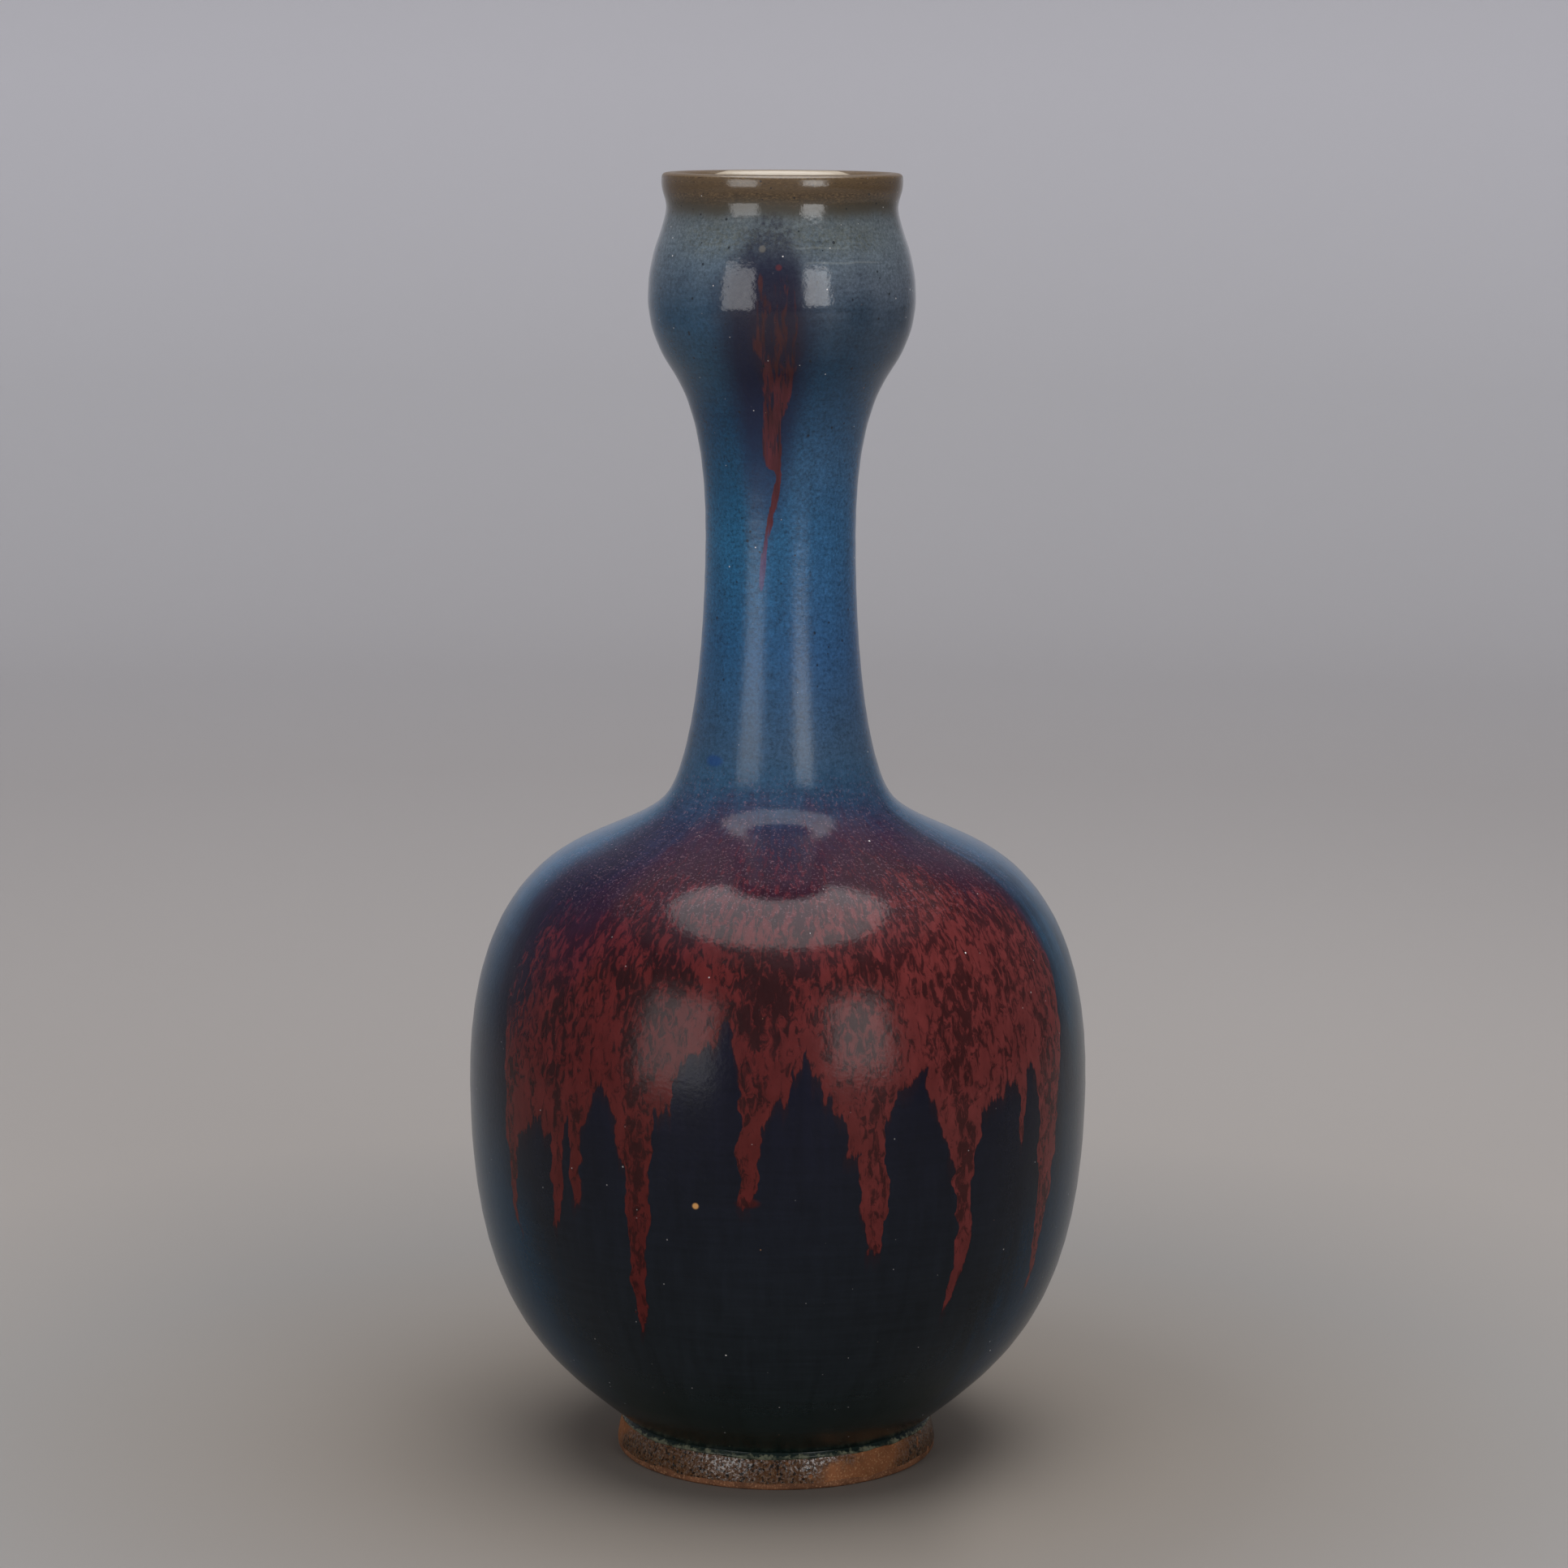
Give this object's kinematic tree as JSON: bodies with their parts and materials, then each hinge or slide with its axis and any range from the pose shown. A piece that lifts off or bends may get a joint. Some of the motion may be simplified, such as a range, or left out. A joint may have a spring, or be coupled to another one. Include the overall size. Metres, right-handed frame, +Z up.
{
  "type": "garlic head vase",
  "caption": "Globular stoneware bottle vase on a low foot ring, with a slim neck that swells into a garlic-shaped mouth with a rolled lip, blue glaze with a copper-red run splash.",
  "frame": {"origin": "centre of the foot ring's standing face", "axes": "+Z up along the turning axis, -Y towards the splashed front, +X to the right as seen from the front"},
  "size_m": [0.1504, 0.1506, 0.3121],
  "materials": {
    "foot_clay": "gritty orange-brown biscuit",
    "body_clay": "fired stoneware, hidden under the glazes",
    "slip": "fired luting slip",
    "cream_liner": "cream liner glaze",
    "blue_glaze": "glossy blue run glaze, brown at the lip",
    "iron_wash": "thin dark brown iron wash with a sparkle",
    "copper_red": "streaked copper-red splash"
  },
  "bodies": {
    "root": {"foot_ring": "foot_clay", "foot_slip": "slip", "lower_body": "body_clay", "belly_slip": "slip", "upper_body": "body_clay", "neck_slip": "slip", "neck": "body_clay", "head_slip": "slip", "garlic_head": "body_clay", "inner_glaze": "cream_liner", "outer_glaze": "blue_glaze", "foot_wash": "iron_wash", "belly_splash": "copper_red", "head_splash": "copper_red"}
  },
  "joints": []
}
